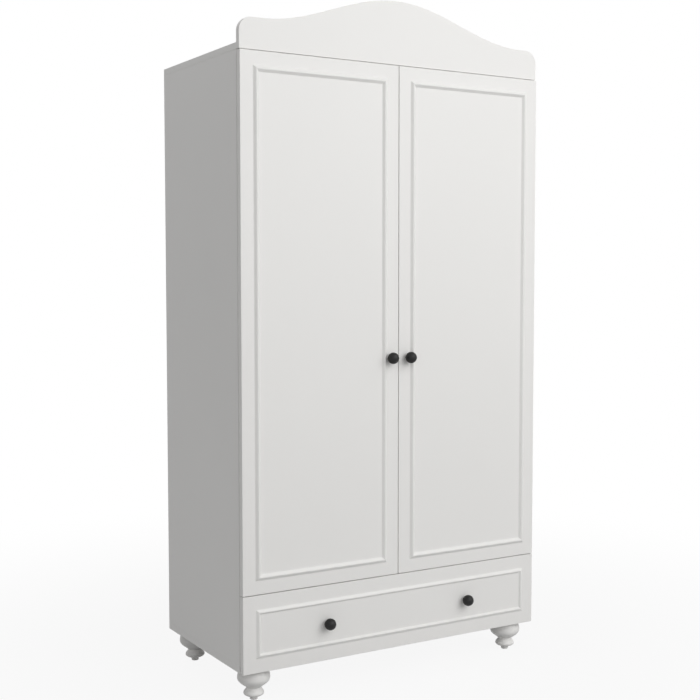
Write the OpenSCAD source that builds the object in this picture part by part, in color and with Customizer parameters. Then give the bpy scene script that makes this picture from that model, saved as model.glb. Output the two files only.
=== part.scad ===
// Two-door wardrobe with a full-width drawer under the doors, an arched crown
// board, applied bead mouldings and turned bun feet. Millimetres.
// The origin is on the floor under the middle of the wardrobe's own box.
// X runs to the right, Y to the back and Z up, so the fronts face -Y.

/* [Carcass] */
// Width over the two side panels
case_w = 1000; // [760:1:1300]
// Depth from the face of the fronts to the rear of the back panel
case_d = 520; // [440:1:640]
// Thickness of the carcass boards
board_t = 18; // [16:1:22]
// Thickness of the back panel
back_t = 3; // [2.5:0.5:6]
// How far the back panel stays inside the carcass outline
back_inset = 1; // [0.5:0.5:4]
// Gap between neighbouring fronts
reveal = 2; // [2:0.5:5]
// Gap between the back of a front and the carcass edge
front_gap = 4; // [3.2:0.2:6]

/* [Fronts] */
// Thickness of the doors and the drawer front
front_t = 18; // [16:1:22]
// Height of each door
door_h = 1459; // [1200:1:1700]
// Height of the drawer front
drawer_front_h = 214; // [190:1:320]
// Distance from a door's edge to its bead moulding
door_bead_inset = 37; // [37:1:60]
// Width of a door's bead moulding
door_bead_w = 20; // [12:1:26]
// Height of a door's bead moulding above the face
door_bead_h = 6.4; // [3:0.2:9]
// Place of the ridge across a door's moulding, as a share counted from outside
door_bead_ridge = 0.5; // [0.4:0.05:0.7]
// Distance from the drawer front's edge to its bead moulding
drawer_bead_inset = 38; // [20:1:60]
// Width of the drawer's bead moulding
drawer_bead_w = 16; // [12:1:26]
// Height of the drawer's bead moulding above the face
drawer_bead_h = 4.8; // [3:0.2:9]
// Place of the ridge across the drawer's moulding, as a share counted from outside
drawer_bead_ridge = 0.6; // [0.4:0.05:0.7]

/* [Crown board] */
// Thickness of the crown board
crown_t = 18; // [12:1:20]
// Height of the crown board at its shoulders
crown_shoulder = 85; // [70:1:120]
// Rise of the arch above the shoulders
crown_rise = 93; // [50:1:130]
// Length of the flat between the arch and a rounded corner
crown_flat = 27; // [10:1:80]
// Radius of the rounded top corners
crown_corner_r = 38; // [15:1:50]

/* [Feet] */
// Largest radius of the bun
bun_r = 46; // [34:0.5:50]
// Height of the bun
bun_h = 56.5; // [50:0.5:75]
// Radius of the flat on top of the bun
bun_seat_r = 30.5; // [18:0.5:32]
// Radius of the neck under the bun
neck_r = 20.5; // [14:0.5:24]
// Largest radius of the ring under the neck
ring_r = 29; // [26:0.5:36]
// Height of the ring with the hollow above it
ring_h = 25.5; // [18:0.5:32]
// Radius of the tip that stands on the floor
tip_r = 11; // [9:0.5:12.5]
// Height of the tip
tip_h = 10; // [4:1:16]
// Distance from the carcass side to the middle of a foot
foot_inset_x = 60; // [52:1:90]
// Distance from the face of the fronts to the middle of a front foot
foot_inset_front = 58.5; // [55:0.5:90]
// Distance from the back of the carcass to the middle of a rear foot
foot_inset_back = 59; // [50:1:90]

/* [Knobs] */
// Radius of the ball of a knob
knob_r = 16.5; // [12:0.5:17]
// Length of a knob from the front to its tip
knob_len = 36; // [35:0.5:46]
// Radius of the neck of a knob
knob_neck_r = 5.5; // [5:0.5:6]
// Radius of the foot of a knob
knob_foot_r = 6.5; // [6.5:0.5:7]
// Distance from the door's free edge to the middle of its knob
knob_inset = 29.5; // [22:0.5:30]
// Height of a door knob above the door's lower edge
knob_rise = 630; // [400:0.5:900]
// Distance of each drawer knob from the middle of the drawer
drawer_knob_x = 239; // [120:1:300]

/* [Shelf and rail] */
// Distance from the top panel's underside to the top of the hat shelf
hat_space = 300; // [220:1:420]
// Distance from the carcass edge to the front of the hat shelf
shelf_setback = 20; // [5:1:60]
// Play between the hat shelf and each side panel
shelf_play = 0.8; // [0.5:0.1:2]
// Radius of a shelf pin
pin_r = 2.5; // [2:0.25:3]
// Pitch of the shelf pin holes
pin_pitch = 32; // [25:1:50]
// Number of pin holes above and below the shelf
pin_steps = 2; // [0:1:3]
// Distance from the shelf's underside to the middle of the hanging rail
rail_drop = 60; // [40:1:100]
// Height of the oval hanging rail
rail_h = 30; // [20:1:36]
// Width of the oval hanging rail
rail_w = 15; // [12:1:20]
// Wall of the hanging rail
rail_wall = 1.2; // [0.8:0.1:2]

/* [Drawer] */
// Thickness of the drawer sides and back
drawer_t = 12; // [12:1:16]
// Height of the drawer sides
drawer_side_h = 140; // [110:1:148]
// Clearance under the drawer box
drawer_lift = 14; // [6:1:24]
// Clearance behind the drawer box
drawer_rear = 49; // [20:1:90]
// Thickness of the drawer bottom
bottom_t = 4; // [3:0.5:6]
// Depth of the groove that holds the drawer bottom
groove_d = 6; // [4:0.5:8]
// Height of the groove above the lower edge of the drawer box
groove_z = 10; // [7:1:20]

/* [Drawer slides] */
// Height of a drawer slide
slide_h = 45; // [40:1:50]
// Width of a drawer slide between the side panel and the drawer
slide_w = 12.7; // [12.5:0.1:14]
// Sheet thickness of the fixed member
slide_sheet = 1.5; // [1.2:0.1:1.6]
// Running gap between the members of a slide
slide_gap = 0.4; // [0.3:0.05:0.5]

/* [Hinges] */
// Radius of the hinge cup
cup_r = 17.5; // [15:0.5:18]
// Depth of the hinge cup
cup_depth = 11.8; // [9:0.2:12.4]
// Distance from the door's edge to the middle of the cup
cup_inset = 22.5; // [21:0.5:24]
// Distance from a door's end to its outer hinges
hinge_end = 100; // [70:1:160]
// Distance from the carcass edge to the line of the plate screws
plate_line = 37; // [34:1:42]

/* [Fasteners] */
// Radius of the wooden dowels
dowel_r = 4; // [3:0.5:5]
// Length of the wooden dowels
dowel_len = 30; // [24:1:36]
// Radius of the cam locks
cam_r = 7.5; // [6:0.5:7.5]
// Distance from the joint to the middle of a cam lock
cam_reach = 34; // [26:1:36]
// Radius of the shank of the wood screws
screw_r = 1.75; // [1.5:0.05:2]
// Length of the wood screws under the head
screw_len = 13; // [10:0.5:14]

/* [Hidden] */
$fn = 48;
eps = 0.05;
white = [0.93, 0.925, 0.91];
hdf = [0.86, 0.85, 0.83];
beech = [0.80, 0.66, 0.48];
steel = [0.72, 0.74, 0.76];
zinc = [0.80, 0.81, 0.83];
black = [0.09, 0.09, 0.09];
rubber = [0.80, 0.82, 0.84];

// Levels and planes of the carcass
foot_h = bun_h + ring_h + tip_h;
side_x = case_w / 2;
in_x = side_x - board_t;
face_y = (knob_len - case_d) / 2;
front_back_y = face_y + front_t;
edge_y = front_back_y + front_gap;
rear_y = face_y + case_d;
back_y = rear_y - back_t;
floor_z = foot_h + board_t;
door_z0 = foot_h + drawer_front_h + reveal;
door_z1 = door_z0 + door_h;
top_z0 = door_z1 + reveal;
top_z1 = top_z0 + board_t;
door_w = (case_w - reveal) / 2;
divider_z = door_z0 - (reveal + board_t) / 2;
shelf_z1 = top_z0 - hat_space;
shelf_z0 = shelf_z1 - board_t;
pin_z = shelf_z0 - pin_r;
rail_z = shelf_z0 - rail_drop;
mid_y = (edge_y + back_y) / 2;

// Rows of joints along the depth of the carcass
cam_inset = 60;
dowel_inset = 120;
cam_ys = [edge_y + cam_inset, back_y - cam_inset];
dowel_ys = [edge_y + dowel_inset, back_y - dowel_inset];
pin_inset = 64;
pin_ys = [edge_y + shelf_setback + pin_inset, back_y - pin_inset];
hinge_zs = [door_z0 + hinge_end, (door_z0 + door_z1) / 2, door_z1 - hinge_end];
foot_ys = [face_y + foot_inset_front, rear_y - foot_inset_back];

// Drawer box
drawer_z0 = floor_z + drawer_lift;
drawer_len = back_y - drawer_rear - front_back_y;
slide_play = 0.3;
screw_skin = 2;
drawer_x = in_x - slide_w - slide_play;
slide_z = drawer_z0 + drawer_side_h / 2;
slide_setback = 2;
slide_y0 = edge_y + slide_setback;
slide_len = drawer_len - (slide_y0 - front_back_y);
middle_short = 5;
bottom_z = drawer_z0 + groove_z;
bottom_play = 0.3;

// Crown screws and brackets
bracket_inset = 150;
bracket_xs = [bracket_inset - side_x, 0, side_x - bracket_inset];
bracket_leg = 38;
bracket_w = 30;
bracket_t = 2;
bracket_hole = 12;

// Hinge parts
flange_t = 1.2;
flange_outer = 0.5;
flange_inner = 1;
flange_end = 6;
cup_wall = 1;
cup_screw_dx = 9.5;
cup_screw_z = 22.5;
plate_t = 2;
plate_screw_z = 16;
plate_end = 6;
plate_nose_gap = 2;
arm_w = 17;
arm_sheet = 1.5;
arm_rise = 7.5;
arm_setback = 2;
arm_y0 = edge_y + arm_setback;
arm_len = 60;
nose_len = 10;
wing_w = 14;
pad_w = 10;
pad_inset = 4;
pad_h = arm_rise - arm_sheet - 0.3;
arm_screw_r = 2;
arm_screw_len = 6.5;
arm_screw_dy = 12;
leaf_t = 2;
leaf_w = 10;
leaf_x = 2.5;
leaf_reach = 14;

// Screw heads
head_r = 3.4;
head_h = 1.6;
sunk_head_r = 3;

// ---------------------------------------------------------------- helpers

// A box between its lowest and its highest corner
module block(lo, hi) {
    translate(lo) cube(hi - lo);
}

// Makes the left version, or its mirror image on the right
module on_side(right) {
    if (right) mirror([1, 0, 0]) children();
    else children();
}

// Both versions at once
module both_sides() {
    children();
    mirror([1, 0, 0]) children();
}

// Cylinders that start at p and run along +X, +Y and +Z
module rod_x(p, r, len) {
    translate(p) rotate([0, 90, 0]) cylinder(r = r, h = len);
}
module rod_y(p, r, len) {
    translate(p) rotate([-90, 0, 0]) cylinder(r = r, h = len);
}
module rod_z(p, r, len) {
    translate(p) cylinder(r = r, h = len);
}

// A pan-head wood screw: the joint face is z = 0 and the shank points down
module wood_screw(len = screw_len) {
    cylinder(r = head_r, h = head_h);
    translate([0, 0, -len]) cylinder(r = screw_r, h = len);
}
// The hole for its shank
module screw_hole(len = screw_len) {
    translate([0, 0, -len - eps]) cylinder(r = screw_r + eps, h = len + eps + 1);
}

// ------------------------------------------- cam joints and dowel joints
// A joint's own frame: the joint plane is z = 0, the bolt is screwed into
// the board below it, and the cam lies in the board above, in its +X face.

bolt_thread_r = 2.5;
bolt_thread = 10;
bolt_r = 3;
bolt_head_r = 3.4;
bolt_head = 4;
cam_play = 0.1;

function cam_depth(t) = t * 2 / 3;

module cam_bolt() {
    translate([0, 0, -bolt_thread]) cylinder(r = bolt_thread_r, h = bolt_thread);
    cylinder(r = bolt_r, h = cam_reach - bolt_head);
    translate([0, 0, cam_reach - bolt_head]) cylinder(r = bolt_head_r, h = bolt_head);
}
module cam_bolt_hole() {
    translate([0, 0, -bolt_thread - eps])
        cylinder(r = bolt_thread_r + eps, h = bolt_thread + 1);
}
module cam_board_holes(t) {
    translate([0, 0, -1]) cylinder(r = bolt_head_r + eps, h = cam_reach + 1);
    rod_x([t / 2 - cam_depth(t) - eps, 0, cam_reach], cam_r + eps, cam_depth(t) + 1);
}
module cam_lock(t) {
    difference() {
        rod_x([t / 2 - cam_depth(t), 0, cam_reach], cam_r, cam_depth(t));
        translate([0, 0, cam_reach - 2 * cam_r])
            cylinder(r = bolt_head_r + cam_play, h = 2 * cam_r + cam_play);
        // cross slot for the screwdriver
        translate([t / 2 - 1, -cam_r * 0.6, cam_reach - 0.6])
            cube([2, cam_r * 1.2, 1.2]);
        translate([t / 2 - 1, -0.6, cam_reach - cam_r * 0.6])
            cube([2, 1.2, cam_r * 1.2]);
    }
}
module dowel() {
    translate([0, 0, -dowel_len / 3]) cylinder(r = dowel_r - eps, h = dowel_len);
}
module dowel_hole() {
    translate([0, 0, -dowel_len / 3 - 0.5]) cylinder(r = dowel_r, h = dowel_len + 1);
}

// Each of these places the children at the joints, in the given rows, of the
// left side panel with the top panel, the base panel or the divider
module at_top(ys) {
    for (y = ys) translate([-side_x + board_t / 2, y, top_z0])
        rotate([180, 0, 0]) children();
}
module at_base(ys) {
    for (y = ys) translate([-side_x + board_t / 2, y, floor_z]) children();
}
module at_divider(ys) {
    for (y = ys) translate([-in_x, y, divider_z + board_t / 2])
        rotate([0, 90, 0]) children();
}
// The same for the drawer front and the left drawer side
drawer_cam_low = 36;
drawer_cam_high = 30;
drawer_cam_zs = [drawer_z0 + drawer_cam_low, drawer_z0 + drawer_side_h - drawer_cam_high];
module at_drawer_front() {
    for (z = drawer_cam_zs) translate([-drawer_x + drawer_t / 2, front_back_y, z])
        rotate([-90, 0, 0]) children();
}
// Dowels between the top panel's front edge and the crown board
crown_dowel_inset = 280;
crown_dowel_xs = [crown_dowel_inset - side_x, side_x - crown_dowel_inset];
module at_crown() {
    for (x = crown_dowel_xs) translate([x, edge_y, top_z0 + board_t / 2])
        rotate([-90, 0, 0]) children();
}

// ------------------------------------------------------- places of screws

// On the left side panel's inner face, screw heads towards +X
module at_plate_screws() {
    for (z = hinge_zs, dz = [-plate_screw_z, plate_screw_z])
        translate([-in_x + plate_t, edge_y + plate_line, z + dz])
            rotate([0, 90, 0]) children();
}
socket_t = 3;
socket_screw_z = rail_h / 2 + 10;
module at_socket_screws() {
    for (dz = [-socket_screw_z, socket_screw_z])
        translate([-in_x + socket_t, mid_y, rail_z + dz])
            rotate([0, 90, 0]) children();
}
slide_screw_end = 30;
slide_screw_ys = [slide_y0 + slide_screw_end, slide_y0 + slide_len / 2,
                  slide_y0 + slide_len - slide_screw_end];
module at_slide_screws() {
    for (y = slide_screw_ys) translate([-in_x, y, slide_z])
        rotate([0, 90, 0]) children();
}
// On the left drawer side's outer face, heads towards -X
module at_inner_slide_screws() {
    for (y = slide_screw_ys) translate([-drawer_x, y, slide_z])
        rotate([0, -90, 0]) children();
}
back_screw_len = 26;
back_screw_low = 26;
back_screw_high = 20;
back_screw_zs = [drawer_z0 + back_screw_low, drawer_z0 + drawer_side_h - back_screw_high];
module at_drawer_back_screws() {
    for (z = back_screw_zs)
        translate([-drawer_x, front_back_y + drawer_len - drawer_t / 2, z])
            rotate([0, -90, 0]) children();
}
// On the crown brackets
module at_bracket_screws() {
    for (x = bracket_xs, dx = [-bracket_w / 4, bracket_w / 4]) {
        translate([x + dx, edge_y + bracket_leg - bracket_hole, top_z1 + bracket_t])
            children();
        translate([x + dx, edge_y + bracket_t, top_z1 + bracket_leg - bracket_hole])
            rotate([-90, 0, 0]) children();
    }
}
// On the left door's hinge cups
module at_cup_screws() {
    for (z = hinge_zs, dz = [-cup_screw_z, cup_screw_z])
        translate([-side_x + cup_inset + cup_screw_dx, front_back_y + flange_t, z + dz])
            rotate([-90, 0, 0]) children();
}

// --------------------------------------------------------- carcass boards

module side_panel(right) {
    on_side(right) difference() {
        block([-side_x, edge_y, floor_z], [-in_x, back_y, top_z0]);
        at_top(cam_ys) cam_board_holes(board_t);
        at_base(cam_ys) cam_board_holes(board_t);
        at_divider(cam_ys) cam_bolt_hole();
        at_top(dowel_ys) dowel_hole();
        at_base(dowel_ys) dowel_hole();
        at_divider(dowel_ys) dowel_hole();
        at_plate_screws() screw_hole();
        at_socket_screws() screw_hole();
        at_slide_screws() screw_hole();
        for (y = pin_ys, i = [-pin_steps : pin_steps])
            rod_x([-in_x - pin_depth, y, pin_z + i * pin_pitch], pin_r + eps, pin_depth + 1);
        nail_holes();
    }
}
module left_side_panel() {
    color(white) side_panel(false);
}
module right_side_panel() {
    color(white) side_panel(true);
}

module top_panel() {
    color(white) difference() {
        block([-side_x, edge_y, top_z0], [side_x, back_y, top_z1]);
        both_sides() {
            at_top(cam_ys) cam_bolt_hole();
            at_top(dowel_ys) dowel_hole();
        }
        at_crown() dowel_hole();
        at_bracket_screws() screw_hole();
        nail_holes();
    }
}

module base_panel() {
    color(white) difference() {
        block([-side_x, edge_y, foot_h], [side_x, back_y, floor_z]);
        both_sides() {
            at_base(cam_ys) cam_bolt_hole();
            at_base(dowel_ys) dowel_hole();
            for (y = foot_ys)
                rod_z([-foot_x, y, foot_h - 1], nut_r + eps, nut_h + 1);
        }
        nail_holes();
    }
}

module drawer_divider() {
    color(white) difference() {
        block([-in_x, edge_y, divider_z], [in_x, back_y, divider_z + board_t]);
        both_sides() {
            at_divider(cam_ys) cam_board_holes(board_t);
            at_divider(dowel_ys) dowel_hole();
        }
        nail_holes();
    }
}

module hat_shelf() {
    color(white)
        block([-in_x + shelf_play, edge_y + shelf_setback, shelf_z0],
              [in_x - shelf_play, back_y - shelf_play, shelf_z1]);
}

module back_panel() {
    color(hdf) difference() {
        block([-side_x + back_inset, back_y, foot_h + back_inset],
              [side_x - back_inset, rear_y, top_z1 - back_inset]);
        nail_holes();
    }
}

// Nails along the edges of the back panel and along the divider
nail_r = 0.8;
nail_head_r = 2;
nail_head = 0.6;
nail_len = 18;
nail_rows = 9;
nail_cols = 4;
nail_x = side_x - board_t / 2;
nail_z0 = foot_h + board_t / 2;
nail_z1 = top_z1 - board_t / 2;
module at_nails() {
    for (i = [0 : nail_rows], s = [-1, 1])
        translate([s * nail_x, rear_y, nail_z0 + (nail_z1 - nail_z0) * i / nail_rows])
            rotate([90, 0, 0]) children();
    for (z = [nail_z0, divider_z + board_t / 2, nail_z1], i = [1 : nail_cols - 1])
        translate([nail_x * (2 * i / nail_cols - 1), rear_y, z])
            rotate([90, 0, 0]) children();
}
module back_nail(play) {
    cylinder(r = nail_r + play, h = nail_len + play);
    cylinder(r = nail_head_r + play, h = nail_head + play);
}
module back_nails() {
    color(zinc) at_nails() back_nail(0);
}
module nail_holes() {
    at_nails() back_nail(eps);
}

// --------------------------------------------------------------- crown

// The arch is one wave of a cosine between the shoulders, and the top corners
// are quarter circles
arch_half_w = side_x - crown_corner_r - crown_flat;
arch_steps = 48;
corner_steps = 10;
function arch_z(x) = crown_shoulder + crown_rise * (1 + cos(180 * x / arch_half_w)) / 2;
function crown_outline() = concat(
    [[-side_x, 0]],
    [for (i = [0 : corner_steps]) let (a = 180 - 90 * i / corner_steps)
        [-side_x + crown_corner_r * (1 + cos(a)), crown_shoulder - crown_corner_r * (1 - sin(a))]],
    [for (i = [0 : arch_steps]) let (x = arch_half_w * (2 * i / arch_steps - 1)) [x, arch_z(x)]],
    [for (i = [0 : corner_steps]) let (a = 90 - 90 * i / corner_steps)
        [side_x - crown_corner_r * (1 - cos(a)), crown_shoulder - crown_corner_r * (1 - sin(a))]],
    [[side_x, 0]]
);
module crown_board() {
    color(white) difference() {
        translate([0, edge_y, top_z0]) rotate([90, 0, 0])
            linear_extrude(crown_t) polygon(crown_outline());
        at_crown() dowel_hole();
        at_bracket_screws() screw_hole();
    }
}

module crown_brackets() {
    color(zinc) difference() {
        for (x = bracket_xs) {
            difference() {
                block([x - bracket_w / 2, edge_y, top_z1],
                      [x + bracket_w / 2, edge_y + bracket_leg, top_z1 + bracket_leg]);
                block([x - bracket_w / 2 - 1, edge_y + bracket_t, top_z1 + bracket_t],
                      [x + bracket_w / 2 + 1, edge_y + bracket_leg + 1, top_z1 + bracket_leg + 1]);
            }
        }
        at_bracket_screws() screw_hole();
    }
}

// ------------------------------------------------------- shelf and rail

pin_depth = 8;
pin_out = 9;
module shelf_pins() {
    color(zinc) both_sides() for (y = pin_ys)
        rod_x([-in_x - pin_depth + eps, y, pin_z], pin_r, pin_depth + pin_out);
}

// The oval section is two half circles and the flat between them, along X
module oval_bar(x0, x1, w, h) {
    for (s = [-1, 1]) rod_x([x0, mid_y, rail_z + s * (h - w) / 2], w / 2, x1 - x0);
    block([x0, mid_y - w / 2, rail_z - (h - w) / 2], [x1, mid_y + w / 2, rail_z + (h - w) / 2]);
}
socket_wall = 2;
socket_deep = 12;
rail_play = 0.2;
module hanging_rail() {
    x = in_x - socket_t - rail_play;
    color(zinc) difference() {
        oval_bar(-x, x, rail_w, rail_h);
        oval_bar(-x - 1, x + 1, rail_w - 2 * rail_wall, rail_h - 2 * rail_wall);
    }
}
module rail_sockets() {
    cup_w = rail_w + 2 * (rail_play + socket_wall);
    cup_h = rail_h + 2 * (rail_play + socket_wall);
    tab = socket_screw_z + 2 * head_r;
    color(zinc) both_sides() difference() {
        union() {
            block([-in_x, mid_y - cup_w / 2, rail_z - tab],
                  [-in_x + socket_t, mid_y + cup_w / 2, rail_z + tab]);
            oval_bar(-in_x, -in_x + socket_deep, cup_w, cup_h);
        }
        oval_bar(-in_x + socket_t, -in_x + socket_deep + 1,
                 rail_w + 2 * rail_play, rail_h + 2 * rail_play);
        at_socket_screws() screw_hole();
    }
}

// ---------------------------------------------------------------- feet

// Half outline of a foot, from the floor up. A flank widens from r0 at height
// z0 to r1 at height z1 as (1 - (1 - t)^2)^power, and t runs from i0 to i1.
foot_steps = 12;
function flank(r0, r1, z0, z1, power, i0, i1) =
    [for (i = [i0 : (i1 > i0 ? 1 : -1) : i1]) let (t = i / foot_steps)
        [r0 + (r1 - r0) * pow(1 - pow(1 - t, 2), power), z0 + (z1 - z0) * t]];
tip_steps = 6;
tip_round = 3;
ring_under_r = tip_r + 2;
ring_rim = 0.365;
bun_rim = 0.485;
ring_z = tip_h + ring_h * ring_rim;
neck_z = tip_h + ring_h;
bun_z = neck_z + bun_h * bun_rim;
// Powers of the ring's underside and top and of the bun's underside and top
ring_low_power = 0.73;
ring_top_power = 2;
bun_low_power = 1.25;
bun_top_power = 0.57;
function foot_outline() = concat(
    [[0, 0]],
    [for (i = [0 : tip_steps]) let (a = -90 + 90 * i / tip_steps)
        [tip_r - tip_round * (1 - cos(a)), tip_round * (1 + sin(a))]],
    [[tip_r, tip_h]],
    flank(ring_under_r, ring_r, tip_h, ring_z, ring_low_power, 0, foot_steps),
    flank(neck_r, ring_r, neck_z, ring_z, ring_top_power, foot_steps - 1, 0),
    flank(neck_r, bun_r, neck_z, bun_z, bun_low_power, 1, foot_steps),
    flank(bun_seat_r, bun_r, foot_h, bun_z, bun_top_power, foot_steps - 1, 0),
    [[0, foot_h]]
);
stud_r = 4;
stud_down = 40;
module foot(x, y) {
    color(white) translate([x, y, 0]) difference() {
        rotate_extrude($fn = 96) polygon(foot_outline());
        rod_z([0, 0, foot_h - stud_down - eps], stud_r + eps, stud_down + 1);
    }
}
foot_x = side_x - foot_inset_x;
module front_left_foot() {
    foot(-foot_x, foot_ys[0]);
}
module front_right_foot() {
    foot(foot_x, foot_ys[0]);
}
module rear_left_foot() {
    foot(-foot_x, foot_ys[1]);
}
module rear_right_foot() {
    foot(foot_x, foot_ys[1]);
}

// Threaded studs that join the feet to nuts let into the base panel
nut_r = 5.5;
nut_h = board_t * 2 / 3;
module at_feet() {
    for (x = [-foot_x, foot_x], y = foot_ys) translate([x, y, foot_h]) children();
}
module foot_studs() {
    color(zinc) at_feet() translate([0, 0, -stud_down]) cylinder(r = stud_r, h = stud_down + nut_h);
}
module foot_nuts() {
    color(steel) at_feet() difference() {
        cylinder(r = nut_r, h = nut_h);
        translate([0, 0, -1]) cylinder(r = stud_r + eps, h = nut_h + 2);
    }
}

// ---------------------------------------------------- joint fasteners

module cam_bolts() {
    color(zinc) both_sides() {
        at_top(cam_ys) cam_bolt();
        at_base(cam_ys) cam_bolt();
        at_divider(cam_ys) cam_bolt();
    }
}
module cam_locks() {
    color(zinc) both_sides() {
        at_top(cam_ys) cam_lock(board_t);
        at_base(cam_ys) cam_lock(board_t);
        at_divider(cam_ys) cam_lock(board_t);
    }
}
module wood_dowels() {
    color(beech) {
        both_sides() {
            at_top(dowel_ys) dowel();
            at_base(dowel_ys) dowel();
            at_divider(dowel_ys) dowel();
        }
        at_crown() dowel();
    }
}
module panel_screws() {
    color(zinc) {
        both_sides() {
            at_plate_screws() wood_screw();
            at_socket_screws() wood_screw();
            at_slide_screws() slide_screw();
        }
        at_bracket_screws() wood_screw();
    }
}
// A flat-head screw whose cone lies flush in the sheet of the slide
module slide_screw() {
    cylinder(r1 = screw_r, r2 = sunk_head_r, h = slide_sheet);
    translate([0, 0, -screw_len]) cylinder(r = screw_r, h = screw_len);
}
module slide_screw_sink() {
    translate([0, 0, -1]) cylinder(r = screw_r + eps, h = 2);
    cylinder(r1 = screw_r + eps, r2 = sunk_head_r + eps, h = slide_sheet + eps);
}

// --------------------------------------------------------------- hinges
// A hinge is a cup in the door, an arm and a cross plate on the side panel.
// The arm's leaf reaches into the cup while the door is shut.

// A plate has a wing above and below for its screws, and a pad under the arm
module hinge_plates() {
    y = edge_y + plate_line;
    wing = plate_screw_z + plate_end;
    color(steel) both_sides() difference() {
        for (z = hinge_zs) {
            block([-in_x, arm_y0 + nose_len + plate_nose_gap, z - arm_w / 2],
                  [-in_x + plate_t, arm_y0 + arm_len, z + arm_w / 2]);
            block([-in_x, y - wing_w / 2, z - wing], [-in_x + plate_t, y + wing_w / 2, z + wing]);
            block([-in_x, arm_y0 + nose_len + pad_inset, z - pad_w / 2],
                  [-in_x + plate_t + pad_h, arm_y0 + arm_len - pad_inset, z + pad_w / 2]);
        }
        at_plate_screws() screw_hole();
        at_arm_screws() arm_screw_hole();
    }
}

// On the web of each left arm, screw heads towards +X
module at_arm_screws() {
    for (z = hinge_zs)
        translate([-in_x + plate_t + arm_rise, edge_y + plate_line + arm_screw_dy, z])
            rotate([0, 90, 0]) children();
}
module arm_screw_hole() {
    translate([0, 0, -arm_screw_len - eps])
        cylinder(r = arm_screw_r + eps, h = arm_screw_len + eps + 1);
}
module hinge_arms() {
    x0 = -in_x + plate_t;
    leaf_mid = -in_x + leaf_x;
    leaf_y0 = arm_y0 - leaf_reach + leaf_t / 2;
    color(steel) both_sides() difference() {
        for (z = hinge_zs) {
            // channel over the plate, closed by a solid nose at its front
            difference() {
                block([x0, arm_y0, z - arm_w / 2],
                      [x0 + arm_rise, arm_y0 + arm_len, z + arm_w / 2]);
                block([x0 - 1, arm_y0 + nose_len, z - arm_w / 2 + arm_sheet],
                      [x0 + arm_rise - arm_sheet, arm_y0 + arm_len + 1, z + arm_w / 2 - arm_sheet]);
            }
            // leaf with a rounded tip that reaches into the cup
            block([leaf_mid - leaf_t / 2, leaf_y0, z - leaf_w / 2],
                  [leaf_mid + leaf_t / 2, arm_y0 + 1, z + leaf_w / 2]);
            rod_z([leaf_mid, leaf_y0, z - leaf_w / 2], leaf_t / 2, leaf_w);
        }
        at_arm_screws() arm_screw_hole();
    }
}
module hinge_arm_screws() {
    color(zinc) both_sides() at_arm_screws() {
        cylinder(r = head_r, h = head_h);
        translate([0, 0, -arm_screw_len]) cylinder(r = arm_screw_r, h = arm_screw_len);
    }
}

module hinge_cups(right) {
    x = -side_x + cup_inset;
    color(steel) on_side(right) difference() {
        for (z = hinge_zs) {
            rod_y([x, front_back_y - cup_depth, z], cup_r - eps, cup_depth + flange_t);
            block([x - cup_r - flange_outer, front_back_y, z - cup_screw_z - flange_end],
                  [x + cup_r + flange_inner, front_back_y + flange_t,
                   z + cup_screw_z + flange_end]);
        }
        for (z = hinge_zs)
            rod_y([x, front_back_y - cup_depth + cup_wall, z], cup_r - eps - cup_wall,
                  cup_depth + flange_t);
        at_cup_screws() screw_hole();
    }
}
module left_hinge_cups() {
    hinge_cups(false);
}
module right_hinge_cups() {
    hinge_cups(true);
}
module cup_screws(right) {
    color(zinc) on_side(right) at_cup_screws() wood_screw();
}
module left_cup_screws() {
    cup_screws(false);
}
module right_cup_screws() {
    cup_screws(true);
}

// ---------------------------------------------------------------- fronts

// Half of a cosine wave on each side of the ridge; the back is flat
bead_steps = 12;
mitre_gap = 0.05;
module bead_profile(width, height, ridge) {
    polygon([for (i = [0 : bead_steps])
        let (s = i / bead_steps,
             across = s < 0.5 ? 2 * s * ridge : 1 - 2 * (1 - s) * (1 - ridge))
        [across * width, height * (1 - cos(360 * s)) / 2]]);
}
// One strip of a moulding frame, along +X from its outer corner, mitred at
// both ends: the outline's outer edge is y = 0 and the field lies at +Y
module bead_strip(len, width, height, ridge) {
    intersection() {
        rotate([90, 0, 90]) linear_extrude(len) bead_profile(width, height, ridge);
        linear_extrude(height + 1)
            polygon([[mitre_gap, 0], [len - mitre_gap, 0],
                     [len - width - mitre_gap, width], [width + mitre_gap, width]]);
    }
}
// A frame of four strips on a front of size w by h, standing on its face
module bead_frame(w, h, inset, width, height, ridge) {
    fw = w - 2 * inset;
    fh = h - 2 * inset;
    translate([inset, face_y, inset]) rotate([90, 0, 0]) {
        bead_strip(fw, width, height, ridge);
        translate([fw, 0, 0]) rotate([0, 0, 90]) bead_strip(fh, width, height, ridge);
        translate([fw, fh, 0]) rotate([0, 0, 180]) bead_strip(fw, width, height, ridge);
        translate([0, fh, 0]) rotate([0, 0, -90]) bead_strip(fh, width, height, ridge);
    }
}

knob_x = reveal / 2 + knob_inset;
knob_z = door_z0 + knob_rise;
knob_screw_r = 2;
knob_screw_in = 12;
knob_foot_h = 1.5;
knob_cone_h = 1.5;
module knob(x, z) {
    ball_y = knob_len - knob_r;
    color(black) translate([x, face_y, z]) rotate([90, 0, 0]) difference() {
        union() {
            cylinder(r = knob_foot_r, h = knob_foot_h);
            translate([0, 0, knob_foot_h])
                cylinder(r1 = knob_foot_r, r2 = knob_neck_r, h = knob_cone_h);
            cylinder(r = knob_neck_r, h = ball_y);
            translate([0, 0, ball_y]) sphere(r = knob_r, $fn = 96);
        }
        translate([0, 0, -1]) cylinder(r = knob_screw_r + eps, h = knob_screw_in + 1.2);
    }
}
module knob_screw(x, z) {
    color(zinc) translate([x, front_back_y, z]) rotate([90, 0, 0]) {
        translate([0, 0, -head_h]) cylinder(r = 2 * knob_screw_r, h = head_h);
        cylinder(r = knob_screw_r, h = front_t + knob_screw_in);
    }
}
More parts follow.
